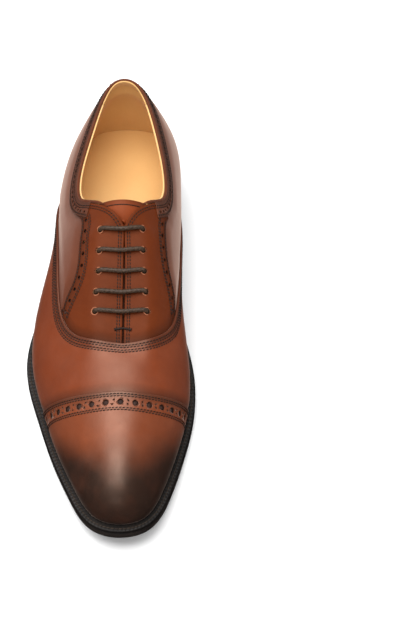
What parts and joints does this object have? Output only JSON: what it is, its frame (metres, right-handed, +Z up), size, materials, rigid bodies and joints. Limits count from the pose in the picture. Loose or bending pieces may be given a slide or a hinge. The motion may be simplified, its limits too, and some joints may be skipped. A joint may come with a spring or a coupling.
{
  "type": "oxford shoe",
  "caption": "Closed-lace leather oxford shoe for the right foot, with a punched cap toe, stacked heel, welted leather sole and a hinged tongue under the facings.",
  "frame": {"origin": "on the floor, under the middle of the shoe's bounding box", "axes": "+Z up, -Y towards the toe, +Y towards the heel, +X towards the big-toe (medial) side of a right shoe"},
  "size_m": [0.1044, 0.3022, 0.096],
  "materials": {
    "tan_leather": "burnished calf leather, satin to gloss",
    "brown_leather": "burnished calf leather, darker at the edges, satin to gloss",
    "burnished_leather": "calf leather burnished nearly black at the toe, high gloss",
    "lining_leather": "undyed lining leather, matte",
    "stiffener_board": "pasted stiffener leather, matte",
    "insole_leather": "oak-bark insole leather, matte",
    "sole_leather": "dark waxed sole leather, satin edge",
    "heel_rubber": "black heel rubber, matte",
    "cork": "cork and resin filler, matte",
    "steel": "tempered spring steel",
    "brass": "lacquered brass, hidden",
    "waxed_cord": "round waxed cotton cord"
  },
  "bodies": {
    "shoe": {"aglet_lateral": "brass", "aglet_medial": "brass", "backstay": "brown_leather", "bar_tack": "waxed_cord", "collar_band_lateral": "brown_leather", "collar_band_medial": "brown_leather", "cork_filler": "cork", "eyelet_lateral_1": "brass", "eyelet_lateral_2": "brass", "eyelet_lateral_3": "brass", "eyelet_lateral_4": "brass", "eyelet_lateral_5": "brass", "eyelet_medial_1": "brass", "eyelet_medial_2": "brass", "eyelet_medial_3": "brass", "eyelet_medial_4": "brass", "eyelet_medial_5": "brass", "facing_lateral": "tan_leather", "facing_medial": "tan_leather", "heel_lift_1": "sole_leather", "heel_lift_2": "sole_leather", "heel_lift_3": "sole_leather", "heel_rand": "sole_leather", "heel_stiffener": "stiffener_board", "heel_top_piece": "heel_rubber", "insole": "insole_leather", "insole_rib": "insole_leather", "lace": "waxed_cord", "lining_heel": "lining_leather", "lining_quarter_lateral": "lining_leather", "lining_quarter_medial": "lining_leather", "lining_vamp": "lining_leather", "outsole": "sole_leather", "quarter_lateral": "brown_leather", "quarter_medial": "brown_leather", "shank": "steel", "sock_liner": "lining_leather", "toe_cap": "burnished_leather", "toe_puff": "stiffener_board", "topline_bead": "brown_leather", "vamp": "tan_leather", "welt": "sole_leather"},
    "tongue": {"tongue": "tan_leather"}
  },
  "joints": [
    {"name": "tongue_hinge", "type": "hinge", "parent": "shoe", "child": "tongue", "pos_m": [0.00926, -0.04246, 0.05593], "axis": [1, 0, 0], "range_deg": [-12, 0]}
  ]
}
